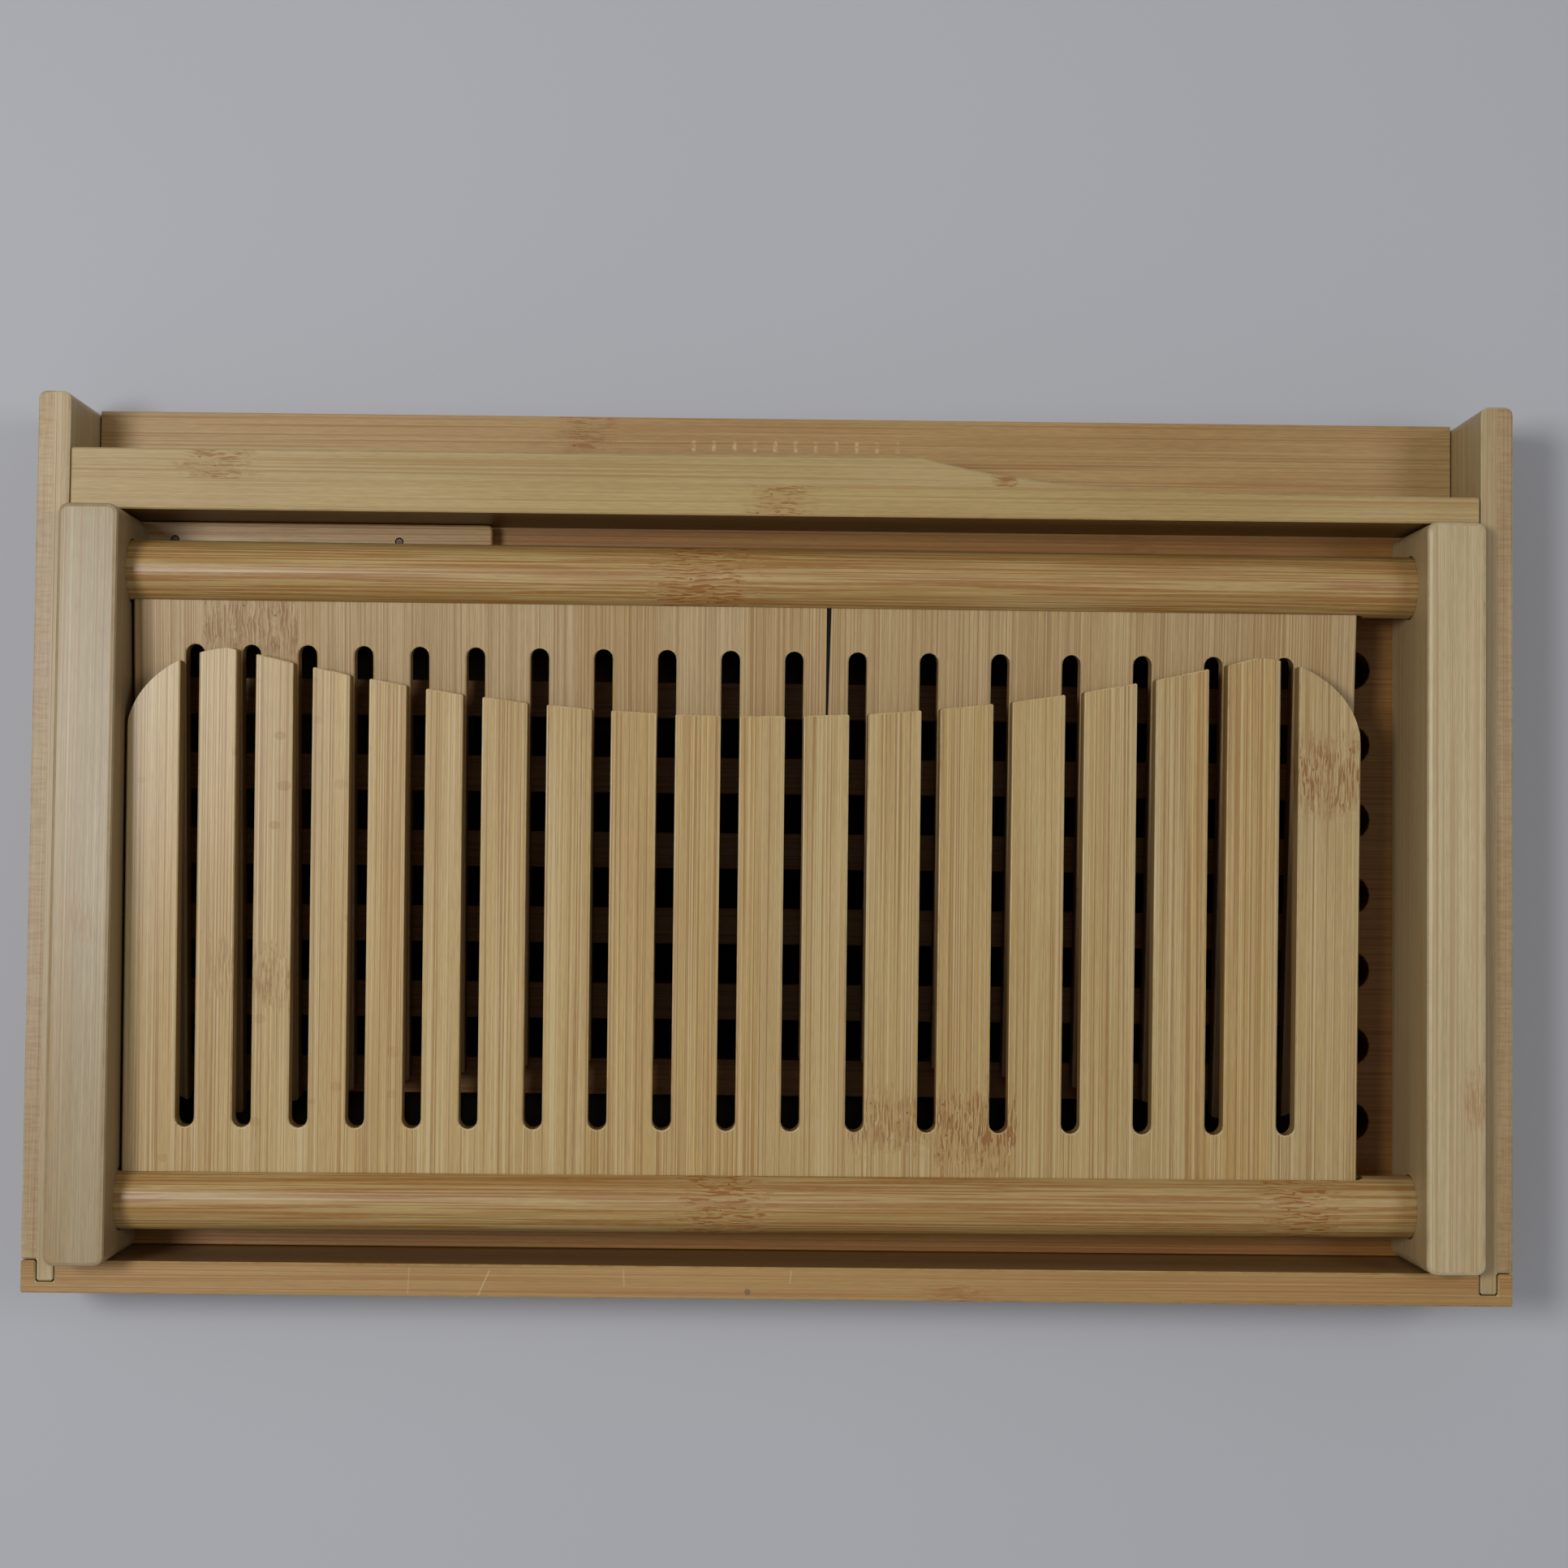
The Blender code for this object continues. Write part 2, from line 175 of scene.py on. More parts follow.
def new_group(name, inputs, outputs):
    """Group with named sockets. Returns the tree, what comes in and the node it leaves by."""
    tree = bpy.data.node_groups.new(name, "ShaderNodeTree")
    for label, kind, default in inputs:
        socket = tree.interface.new_socket(label, in_out="INPUT", socket_type=SOCKET_KINDS[kind])
        socket.default_value = default
    for label, kind in outputs:
        tree.interface.new_socket(label, in_out="OUTPUT", socket_type=SOCKET_KINDS[kind])
    return tree, tree.nodes.new("NodeGroupInput").outputs, tree.nodes.new("NodeGroupOutput")


def use_group(tree, group, inputs):
    return add_node(tree, "ShaderNodeGroup", inputs, node_tree=group)


def tell(group):
    print("group:", group.name, "with", len(group.nodes), "nodes")


print("helpers ready")

# %% [markdown]
# ## Colours as they are seen
#
# The eye and a paint chart give colours the way a screen shows them, from 0 to 255. Shader
# sockets want linear light. Converting once, in one place, keeps the recipes readable.

# %% Colour helper
def seen(red, green, blue):
    """Screen colour (0 to 255) as the linear colour that a shader socket takes."""
    def linear(value):
        value /= 255.0
        return value / 12.92 if value <= 0.04045 else ((value + 0.055) / 1.055) ** 2.4
    return (linear(red), linear(green), linear(blue), 1.0)


def shade(colour, red, green, blue):
    """The same colour with each channel scaled: painted light, shade and sheen, and small tone
    shifts.
    """
    return (colour[0] * red, colour[1] * green, colour[2] * blue, 1.0)


print("mid grey is", round(seen(128, 128, 128)[0], 3), "in linear light")

# %% [markdown]
# ## Strips: how a bamboo board is put together
#
# A bamboo stem is a thin-walled tube, so no plank can be sawn from it. The wall is split
# into strips about 20 mm wide and 4 to 8 mm thick, and the strips are glued side by side and
# on top of each other. Each strip has its own tone, and its fibres stop at the glue line.
#
# An image of planks would give that on one face only. Instead the group below cuts space
# itself into long cells: it floors the coordinate across the grain and through the board,
# and a white noise turns each cell's number into a tone. Because it works in three
# dimensions, the same strip shows on the top, the side and the end of a board. The fibres of
# each strip are read from another place, a chance jump away, so that no two strips match.

# %% Group: glued strips
JUMP = (311.0, 57.0, 41.0)         # mm, the longest jump from strip to strip
GLUE_FULL, GLUE_GONE = 0.05, 0.17  # mm from the joint, where the glue line ends

strips, given, end = new_group(
    "glued strips",
    [("Vector", "vector", (0, 0, 0)), ("Strip Width", "value", 20.0),
     ("Strip Depth", "value", 8.0), ("Shift Across", "value", 0.0),
     ("Shift Through", "value", 0.0), ("Seed", "value", 0.0)],
    [("Fibre Vector", "vector"), ("Strip Tone", "value"), ("Strip Hue", "value"),
     ("Glue Line", "value")],
)
place = split(strips, given["Vector"])
across = ratio(strips, plus(strips, place[1], given["Shift Across"]), given["Strip Width"])
through = ratio(strips, plus(strips, place[2], given["Shift Through"]), given["Strip Depth"])
cell = add_node(strips, "ShaderNodeCombineXYZ", {
    0: math_node(strips, "FLOOR", across), 1: math_node(strips, "FLOOR", through),
    2: given["Seed"]})
chance = add_node(strips, "ShaderNodeTexWhiteNoise", {"Vector": cell.outputs[0]},
                  noise_dimensions="3D")
jump = vector_node(strips, "MULTIPLY", chance.outputs["Color"], JUMP)
feed(strips, end.inputs["Fibre Vector"], vector_node(strips, "ADD", given["Vector"], jump))
feed(strips, end.inputs["Strip Tone"], chance.outputs["Value"])
feed(strips, end.inputs["Strip Hue"], split_colour(strips, chance.outputs["Color"])[1])
lines = []
for share, size in ((across, "Strip Width"), (through, "Strip Depth")):
    off = absolute(strips, minus(strips, math_node(strips, "FRACT", share), 0.5))
    edge = times(strips, minus(strips, 0.5, off), given[size])
    lines.append(remap(strips, edge, GLUE_FULL, GLUE_GONE, 1.0, 0.0))
feed(strips, end.inputs["Glue Line"], larger(strips, *lines))
tell(strips)

# %% [markdown]
# ## Knuckles: where the stem had a joint
#
# Every 25 cm or so a bamboo stem has a joint, a knuckle. In a strip it shows as a short band
# where the fibres swirl, turn brown and break up into dashes with a few dark pores. A band
# belongs to one strip, so its ends are cut off sharply at the glue lines, while it fades out
# gently along the grain, with a ragged edge.
#
# A random scatter of bands would be quick, but a knuckle is the first thing the eye finds on
# a board, so they are placed one by one: this group gives a mask for one, from its place.

# %% Group: knuckle mask
RAGGED = 1.6                       # in half lengths, how far noise shifts the band's ends
FADE_FROM, FADE_TO = 0.25, 1.15    # in half lengths from the middle
CUT_FROM = 0.96                    # in half widths from the middle

knuckle, given, end = new_group(
    "knuckle",
    [("Vector", "vector", (0, 0, 0)), ("Place", "vector", (0, 0, 0)),
     ("Half Length", "value", 8.0), ("Half Width", "value", 10.0),
     ("Half Depth", "value", 30.0), ("Strength", "value", 1.0)],
    [("Mask", "value")],
)
wobble = noise(knuckle, given["Vector"], 0.35, roughness=0.6)[0]
away = split(knuckle, vector_node(knuckle, "SUBTRACT", given["Vector"], given["Place"]))
along = ratio(knuckle, away[0], given["Half Length"])
along = plus(knuckle, along, scale_and_add(knuckle, wobble, RAGGED, -RAGGED / 2))
fade = remap(knuckle, absolute(knuckle, along), FADE_FROM, FADE_TO, 1.0, 0.0)
side = ratio(knuckle, absolute(knuckle, away[1]), given["Half Width"])
deep = ratio(knuckle, absolute(knuckle, away[2]), given["Half Depth"])
inside = times(knuckle, remap(knuckle, side, CUT_FROM, 1.0, 1.0, 0.0),
               remap(knuckle, deep, CUT_FROM, 1.0, 1.0, 0.0))
mask = times(knuckle, times(knuckle, fade, inside), given["Strength"])
feed(knuckle, end.inputs["Mask"], mask)
tell(knuckle)

# %% [markdown]
# ## Fibres: the grain itself
#
# Bamboo has no growth rings. Its grain is a bundle of straight fibres, which show as fine
# brown streaks and pale lines on a long face, and as dots on an end face. One noise texture
# does both, if its space is squeezed: slow along the grain, fast across it and through it.
#
# The group stacks several of them: wide clouds of tone, broad faint streaks, brown hairlines,
# pale lines and a grit of short fibre ends, which also makes the hairlines come and go.
# Inside a knuckle the coordinate is pushed about so that the lines bend, and another short
# noise adds the dashes. A wave texture would look like pine, so it isn't used. The group
# gives masks and a height. The colours are chosen by each board.

# %% Group: bamboo fibres
SWIRL_SCALE = (0.16, 0.24, 0.24)   # per mm
SWIRL_PUSH = (0.0, 1.5, 1.5)       # mm, across the grain only
PORE_SCALE = (0.28, 0.34, 0.34)    # per mm

fibres, given, end = new_group(
    "bamboo fibres",
    [("Vector", "vector", (0, 0, 0)), ("Knuckle", "value", 0.0), ("Fibre Width", "value", 0.5),
     ("Streak Length", "value", 60.0), ("Streaks", "value", 0.5)],
    [("Cloud", "value"), ("Streak", "value"), ("Pale Line", "value"), ("Grit", "value"),
     ("Height", "value")],
)
swirl = noise(fibres, vector_node(fibres, "MULTIPLY", given["Vector"], SWIRL_SCALE), 1.0)
swirl = vector_node(fibres, "SUBTRACT", swirl["Color"], (0.5, 0.5, 0.5))
push = vector_node(fibres, "MULTIPLY", swirl, SWIRL_PUSH)
push = add_node(fibres, "ShaderNodeVectorMath", {0: push, "Scale": given["Knuckle"]},
                operation="SCALE").outputs[0]
bent = split(fibres, vector_node(fibres, "ADD", given["Vector"], push))


def squeezed(length, width, offset, detail=1.0):
    """Noise that is length mm long and width mm wide; both may be sockets."""
    spot = add_node(fibres, "ShaderNodeCombineXYZ", {
        0: ratio(fibres, bent[0], length), 1: ratio(fibres, bent[1], width),
        2: plus(fibres, ratio(fibres, bent[2], width), offset)})
    return noise(fibres, spot.outputs[0], 1.0, detail, 0.55)[0]


width = given["Fibre Width"]
length = given["Streak Length"]
cloud = squeezed(70.0, 9.0, 3.1)
wide = squeezed(length, times(fibres, width, 2.4), 11.7)
hair = squeezed(times(fibres, length, 1.6), width, 27.3, 0.0)
light = squeezed(times(fibres, length, 1.8), times(fibres, width, 0.8), 41.9, 0.0)
grit = squeezed(4.5, times(fibres, width, 0.8), 51.3)
dash = squeezed(7.5, times(fibres, width, 0.9), 63.3)

# Asking for more streaks lowers the level at which a noise counts as one.
level = scale_and_add(fibres, given["Streaks"], -0.24, 0.70)
broad_streak = remap(fibres, wide, level, plus(fibres, level, 0.16))
fine_streak = remap(fibres, hair, level, plus(fibres, level, 0.09))
burst = times(fibres, remap(fibres, dash, 0.50, 0.58, 0.0, 1.5), given["Knuckle"])
pores = add_node(fibres, "ShaderNodeTexVoronoi", {
    "Vector": vector_node(fibres, "MULTIPLY", given["Vector"], PORE_SCALE), "Scale": 1.0})
pore = times(fibres, remap(fibres, pores.outputs["Distance"], 0.06, 0.13, 1.0, 0.0),
             remap(fibres, given["Knuckle"], 0.6, 0.85))
calm = scale_and_add(fibres, given["Knuckle"], -0.4, 1.0)
streak = larger(fibres, times(fibres, broad_streak, 0.45), fine_streak)
streak = times(fibres, streak, remap(fibres, grit, 0.25, 0.60, 0.55, 1.0))
streak = larger(fibres, times(fibres, streak, calm), burst)
streak = plus(fibres, streak, times(fibres, pore, 2.0))
pale_line = remap(fibres, light, 0.56, 0.66)
height = minus(fibres, times(fibres, pale_line, 0.5), streak)
height = plus(fibres, height, times(fibres, grit, 0.8))
for name, value in (("Cloud", cloud), ("Streak", streak), ("Pale Line", pale_line),
                    ("Grit", grit), ("Height", height)):
    feed(fibres, end.inputs[name], value)
tell(fibres)

# %% [markdown]
# ## From masks to colour
#
# All boards mix the same things in the same order: the strip's own tone, the clouds, the
# grit, the pale lines, the knuckle's tint, the brown streaks and the dark hairline of glue.
# Doing that in a group means that a board is described by four colours and three strengths.

# %% Group: bamboo colour
CLOUDS = 0.55      # how far a cloud moves the body towards the deep colour
HUE_SWING = 0.35   # how much of the strip contrast goes into the strip's hue
BRUISE = 0.12      # tint of a whole knuckle
GLUE = 0.30        # tint of a glue line

blend, given, end = new_group(
    "bamboo colour",
    [("Cloud", "value", 0.5), ("Streak", "value", 0.0), ("Pale Line", "value", 0.0),
     ("Grit", "value", 0.5), ("Knuckle", "value", 0.0), ("Strip Tone", "value", 0.5),
     ("Strip Hue", "value", 0.5), ("Glue Line", "value", 0.0),
     ("Body", "colour", (0.4, 0.3, 0.2, 1)), ("Deep", "colour", (0.3, 0.2, 0.1, 1)),
     ("Streak Colour", "colour", (0.3, 0.15, 0.06, 1)),
     ("Pale Colour", "colour", (0.5, 0.4, 0.3, 1)), ("Strip Contrast", "value", 0.5),
     ("Streak Strength", "value", 0.5), ("Pale Strength", "value", 0.5)],
    [("Color", "colour")],
)
tone = times(blend, given["Strip Tone"], given["Strip Contrast"])
cloudy = remap(blend, given["Cloud"], 0.30, 0.72, 0.0, CLOUDS)
colour = mix_colour(blend, plus(blend, tone, cloudy, clamp=True), given["Body"], given["Deep"])
warm = times(blend, minus(blend, given["Strip Hue"], 0.5),
             times(blend, given["Strip Contrast"], HUE_SWING))
tint = add_node(blend, "ShaderNodeHueSaturation", {
    "Hue": scale_and_add(blend, warm, -0.035, 0.5), "Saturation": plus(blend, warm, 1.0),
    "Color": colour, "Value": scale_and_add(blend, given["Grit"], 0.44, 0.78)})
colour = mix_colour(blend, times(blend, given["Pale Line"], given["Pale Strength"]),
                    tint.outputs[0], given["Pale Colour"])
colour = mix_colour(blend, times(blend, given["Knuckle"], BRUISE), colour, given["Streak Colour"])
dark = times(blend, given["Streak"], given["Streak Strength"], clamp=True)
colour = mix_colour(blend, dark, colour, given["Streak Colour"])
colour = mix_colour(blend, times(blend, given["Glue Line"], GLUE), colour, given["Streak Colour"])
feed(blend, end.inputs["Color"], colour)
tell(blend)

# %% [markdown]
# ## Worn edges and painted highlight
#
# The edges of the boards are eased with a small chamfer, and there the varnish is thin:
# they look a little paler and duller. The paler colour is part wear and part painted
# highlight, the thin light line that an eased edge catches. Pointiness, the usual trick,
# needs a dense mesh, and these boards have few faces. But a chamfer is the only face that
# looks half sideways and half up or down, so the surface's own direction tells where it is.
# Noise breaks it up.
#
# The same direction finds the upright faces. They are sawn, not sanded and polished like the
# tops, so they soak up more oil and are darker and warmer. Part of that darkening is painted
# shade, for the recesses, where upright faces stand deep between the parts. That is the
# second output.

# %% Group: worn and highlit edges, sawn and shaded sides
edge_wear_and_highlight, given, end = new_group(
    "worn and highlit edges", [("Vector", "vector", (0, 0, 0)), ("Amount", "value", 0.5)],
    [("Mask", "value"), ("Upright", "value")])
shape = add_node(edge_wear_and_highlight, "ShaderNodeNewGeometry")
turned = add_node(edge_wear_and_highlight, "ShaderNodeVectorTransform", {0: shape.outputs["True Normal"]},
                  vector_type="NORMAL", convert_from="WORLD", convert_to="OBJECT")
upness = absolute(edge_wear_and_highlight, split(edge_wear_and_highlight, turned.outputs[0])[2])
chamfer = times(edge_wear_and_highlight, remap(edge_wear_and_highlight, upness, 0.20, 0.35), remap(edge_wear_and_highlight, upness, 0.90, 0.97, 1.0, 0.0))
patchy = noise(edge_wear_and_highlight, given["Vector"], 0.16, 3.0, 0.7)[0]
worn_and_lit = times(edge_wear_and_highlight, chamfer, remap(edge_wear_and_highlight, patchy, 0.25, 0.65))
feed(edge_wear_and_highlight, end.inputs["Mask"], times(edge_wear_and_highlight, worn_and_lit, given["Amount"]))
feed(edge_wear_and_highlight, end.inputs["Upright"], remap(edge_wear_and_highlight, upness, 0.10, 0.35, 1.0, 0.0))
tell(edge_wear_and_highlight)

# %% [markdown]
# ## Satin varnish
#
# The guide has a thin coat of oil or satin varnish. It shines unevenly: more on the smooth
# fibres, less where hands, crumbs and washing have dulled it. The group gives a roughness
# that drifts slowly over the board and follows the fibres a little.

# %% Group: satin varnish
FIBRE_SHINE = -0.05  # roughness of a raised fibre, added
WORN_DULL = 0.18     # roughness of a worn edge, added

varnish, given, end = new_group(
    "satin varnish",
    [("Vector", "vector", (0, 0, 0)), ("Height", "value", 0.0), ("Worn", "value", 0.0),
     ("Roughness", "value", 0.55), ("Drift", "value", 0.10)],
    [("Roughness", "value")])
smudge = noise(varnish, given["Vector"], 0.05, 4.0, 0.6)[0]
rough = scale_and_add(varnish, minus(varnish, smudge, 0.5), given["Drift"], given["Roughness"])
rough = plus(varnish, rough, times(varnish, given["Height"], FIBRE_SHINE))
rough = plus(varnish, rough, times(varnish, given["Worn"], WORN_DULL), clamp=True)
feed(varnish, end.inputs["Roughness"], rough)
tell(varnish)

# %% [markdown]
# ## One recipe for a bamboo board
#
# A board's material now reads like a work sheet: which way the grain runs, how wide its
# strips are, where its knuckles sit, and its colours. The function below places the groups
# and joins them to a Principled shader, which stays outside the groups so that its plain
# numbers, such as the specular level, sit on its own sockets. It gives back the node tree and
# the main sockets, so that a board with marks of its own can add them.
#
# The grain must lie in the board, not in the room. A comb that leans by six degrees would
# otherwise cut through the long thin streaks at a slant and show them as short dashes. So
# the recipe takes the board's lean and turns the texture's space with it.

# %% The bamboo recipe
ROUGHNESS = 0.55
SPECULAR = 0.35
COAT = 0.12
COAT_ROUGHNESS = 0.28
RELIEF = 0.00012                # metres, height of the bump's full range
RIGHT_THROUGH = 500.0           # mm, half depth of a knuckle that goes through any board
# Upright faces: part the darker sawn grain, part painted shade.
SAWN_AND_SHADE = (0.66, 0.50, 0.33, 1.0)  # what an upright face's colour is multiplied by


def bamboo(name, grain, body, deep, streak, pale, strip=(20.0, 8.0), shift=(0.0, 0.0), seed=0.0,
           fibre=0.5, length=60.0, streaks=0.5, knuckles=(), contrast=0.5, strength=0.5,
           light=0.5, variety=0.4, roughness=ROUGHNESS, coat=COAT, bump=0.25, edges=0.5,
           sawn_and_shade=0.7, lean=(0.0, 0.0)):
    """Material of one board. Lengths are in mm, the lean is in degrees about X and Y.

    Each knuckle is its place along and across the grain, half its length and width, and its
    strength. Streaks is how many there are; strength and light are how much the streaks and
    the pale lines show, contrast is how far the strips differ in tone.
    """
    material = bpy.data.materials.new(name)
    material.use_nodes = True
    tree = material.node_tree
    shader = tree.nodes["Principled BSDF"]
    where = add_node(tree, "ShaderNodeTexCoord")
    turn = add_node(tree, "ShaderNodeMapping", {
        "Vector": where.outputs["Object"], "Scale": (MM, MM, MM)})
    turn.inputs["Rotation"].default_value = (
        -math.radians(lean[0]), -math.radians(lean[1]), -math.pi / 2 if grain == "Y" else 0.0)
    spot = turn.outputs[0]
    board = use_group(tree, strips, {
        "Vector": spot, "Strip Width": strip[0], "Strip Depth": strip[1],
        "Shift Across": shift[0], "Shift Through": shift[1], "Seed": seed}).outputs
    mask = None
    for along, across, half_length, half_width, power in knuckles:
        one = use_group(tree, knuckle, {
            "Vector": spot, "Place": (along, across, 0.0), "Half Length": half_length,
            "Half Width": half_width, "Half Depth": RIGHT_THROUGH, "Strength": power}).outputs[0]
        mask = one if mask is None else larger(tree, mask, one)
    amount = scale_and_add(tree, board["Strip Hue"], variety, streaks - variety / 2)
    grain_node = use_group(tree, fibres, {
        "Vector": board["Fibre Vector"], "Fibre Width": fibre, "Streak Length": length,
        "Streaks": amount})
    grainy = grain_node.outputs
    paint = use_group(tree, blend, {
        "Cloud": grainy["Cloud"], "Streak": grainy["Streak"], "Pale Line": grainy["Pale Line"],
        "Grit": grainy["Grit"], "Strip Tone": board["Strip Tone"],
        "Strip Hue": board["Strip Hue"], "Glue Line": board["Glue Line"], "Body": body,
        "Deep": deep, "Streak Colour": streak, "Pale Colour": pale, "Strip Contrast": contrast,
        "Streak Strength": strength, "Pale Strength": light})
    if mask is not None:
        feed(tree, grain_node.inputs["Knuckle"], mask)
        feed(tree, paint.inputs["Knuckle"], mask)
    rim = use_group(tree, edge_wear_and_highlight, {"Vector": spot, "Amount": edges}).outputs
    # Chamfers turn paler: part wear, part painted highlight.
    colour = mix_colour(tree, rim["Mask"], paint.outputs[0], pale)
    # Upright faces get darker and warmer: part sawn grain, part painted shade.
    colour = mix_colour(tree, times(tree, rim["Upright"], sawn_and_shade), colour, SAWN_AND_SHADE, "MULTIPLY")
    sheen = use_group(tree, varnish, {
        "Vector": spot, "Height": grainy["Height"], "Worn": rim["Mask"], "Roughness": roughness})
    relief = add_node(tree, "ShaderNodeBump", {
        "Height": grainy["Height"], "Strength": bump, "Distance": RELIEF})
    shader.inputs["Specular IOR Level"].default_value = SPECULAR
    shader.inputs["Coat Weight"].default_value = coat
    shader.inputs["Coat Roughness"].default_value = COAT_ROUGHNESS
    feed(tree, shader.inputs["Base Color"], colour)
    feed(tree, shader.inputs["Roughness"], sheen.outputs[0])
    feed(tree, shader.inputs["Normal"], relief.outputs[0])
    return {"material": material, "tree": tree, "shader": shader, "spot": spot, "colour": colour}


def repaint(board, colour):
    """Give the board's shader this colour in place of the recipe's own."""
    feed(board["tree"], board["shader"].inputs["Base Color"], colour)


def dress(piece, material):
    """Give every material slot of a piece this finish. A CAD node may be given by its name."""
    if isinstance(piece, str):
        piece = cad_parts[piece]
    if not piece.material_slots:
        piece.data.materials.append(None)
    for slot in piece.material_slots:
        slot.material = material
    print(piece.name, "is dressed in", material.name)


print("recipe ready; default roughness", ROUGHNESS)

# %% [markdown]
# ## The combs' end corners
#
# The first and last slat of a comb end in a wide rounded corner, a quarter of an ellipse that
# only stops on the second slat. The CAD combs have a narrower one, so here each comb gets a
# stand-in: a copy of its mesh, from which a Boolean takes the corner away. Moving the CAD
# mesh's own points isn't allowed, and drawing the whole comb again would risk its slots. The
# cutter is an upright prism over the part that has to go, so its outline is the ellipse plus
# three points well outside the comb.
#
# A Boolean drops the shading that came with the mesh. Plain smooth shading would then make
# the flat slats look like pillows, because each corner's direction is an average of its
# faces. Weighing that average by area keeps the large faces flat and the rounded edges round.

# %% Combs with wide corners
CORNER_WIDTH = 0.0270   # metres, along the comb
CORNER_HEIGHT = 0.0222  # metres, along the slat
CORNER_STEPS = 28
OVERRUN = 0.006         # metres, how far a cutter reaches past the comb
NEAR = 0.0008           # metres, for points that count as lying at the arc's inner end
SAME_PLANE = 0.3        # degrees, faces closer than this become one
SMOOTH_UP_TO = 35       # degrees, sharper edges stay sharp
MOST_BY_AREA = 100      # highest weight that the modifier takes


def prism(name, outline, bottom, top):
    """Upright prism over a flat outline, as a new object."""
    shape = bmesh.new()
    base = shape.faces.new([shape.verts.new((x, y, bottom)) for x, y in outline])
    for item in bmesh.ops.extrude_face_region(shape, geom=[base])["geom"]:
        if isinstance(item, bmesh.types.BMVert):
            item.co.z = top
    bmesh.ops.recalc_face_normals(shape, faces=shape.faces)
    mesh = bpy.data.meshes.new(name)
    shape.to_mesh(mesh)
    shape.free()
    piece = bpy.data.objects.new(name, mesh)
    bpy.context.scene.collection.objects.link(piece)
    return piece


def apply_modifiers(board):
    evaluated = board.evaluated_get(bpy.context.evaluated_depsgraph_get())
    board.data = bpy.data.meshes.new_from_object(evaluated)
    board.modifiers.clear()


def round_shading(board):
    """Shade the rounded edges round and keep the faces between them flat."""
    shape = bmesh.new()
    shape.from_mesh(board.data)
    bmesh.ops.dissolve_limit(shape, angle_limit=math.radians(SAME_PLANE),
                             verts=shape.verts, edges=shape.edges)
    shape.to_mesh(board.data)
    shape.free()
    board.data.shade_smooth()
    board.data.set_sharp_from_angle(angle=math.radians(SMOOTH_UP_TO))
    weigh = board.modifiers.new("weigh", "WEIGHTED_NORMAL")
    weigh.mode = "FACE_AREA"
    weigh.weight = MOST_BY_AREA
    weigh.keep_sharp = True
    apply_modifiers(board)
    largest = max(board.data.polygons, key=lambda face: face.area)
    tilt = max(board.data.corner_normals[corner].vector.angle(largest.normal)
               for corner in largest.loop_indices)
    print(board.name, "shades its largest face", round(math.degrees(tilt), 2), "degrees off flat")


def corner_outline(top):
    """What has to go, counted from the comb's end and from y = 0. The arc peaks at top."""
    outline = []
    for step in range(CORNER_STEPS + 1):
        turn = math.pi / 2 * step / CORNER_STEPS
        outline.append((CORNER_WIDTH * (1 - math.cos(turn)),
                        top - CORNER_HEIGHT * (1 - math.sin(turn))))
    return outline + [(CORNER_WIDTH, top + OVERRUN), (-OVERRUN, top + OVERRUN),
                      (-OVERRUN, top - CORNER_HEIGHT)]


def comb_board(node, body, forward):
    """Stand-in for a comb. forward is 1 where its tips point along +Y, or else -1."""
    low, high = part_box(node)
    board = bpy.data.objects.new(node + "_board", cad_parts[node].data.copy())
    bpy.context.scene.collection.objects.link(board)
    cutters = []
    for side, end_x in ((1.0, low[0]), (-1.0, high[0])):
        top = max(vert.co.y * forward for vert in board.data.vertices
                  if abs((vert.co.x - end_x) * side - CORNER_WIDTH) < NEAR)
        outline = [(end_x + side * x, y * forward) for x, y in corner_outline(top)]
        cutter = prism("corner_cutter", outline, low[2] - OVERRUN, high[2] + OVERRUN)
        cut = board.modifiers.new("corner", "BOOLEAN")
        cut.operation = "DIFFERENCE"
        cut.object = cutter
        cutters.append(cutter)
    apply_modifiers(board)
    for cutter in cutters:
        bpy.data.objects.remove(cutter)
    round_shading(board)
    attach(board, body)
    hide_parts(node)
    print(board.name, "has", len(board.data.polygons), "faces")
    return board


front_board = comb_board("front_comb", "front_comb_leaf", 1)
back_board = comb_board("back_comb", "back_comb_leaf", -1)

# %% [markdown]
# ## The combs
#
# Each comb is one board, 6 mm thick, of strips about 21 mm wide that lie side by side, with
# the grain along the slats so that they don't snap. The front comb lies on top and is seen
# best: it is a light straw colour. Two neighbouring strips have their knuckles near the
# closed ends of the slots, and one more sits at the far end of the last slat. Drips have left
# faint round spots on the slats at the left. A Voronoi texture scatters most of them, with a
# size by chance, and the three that stand out are placed one by one.

# %% Front comb
DRIP_SCALE = (0.12, 0.10, 0.05)        # per mm
DRIPS_FROM, DRIPS_FULL = 70.0, 105.0   # mm across the grain, towards the left end
LARGE_DRIPS = ((27.5, 123.0, 1.5), (15.0, 121.9, 1.8), (5.3, 124.2, 1.5))  # place and radius, mm
ABOVE_TABLE = 35.0                     # mm, near the top of the comb

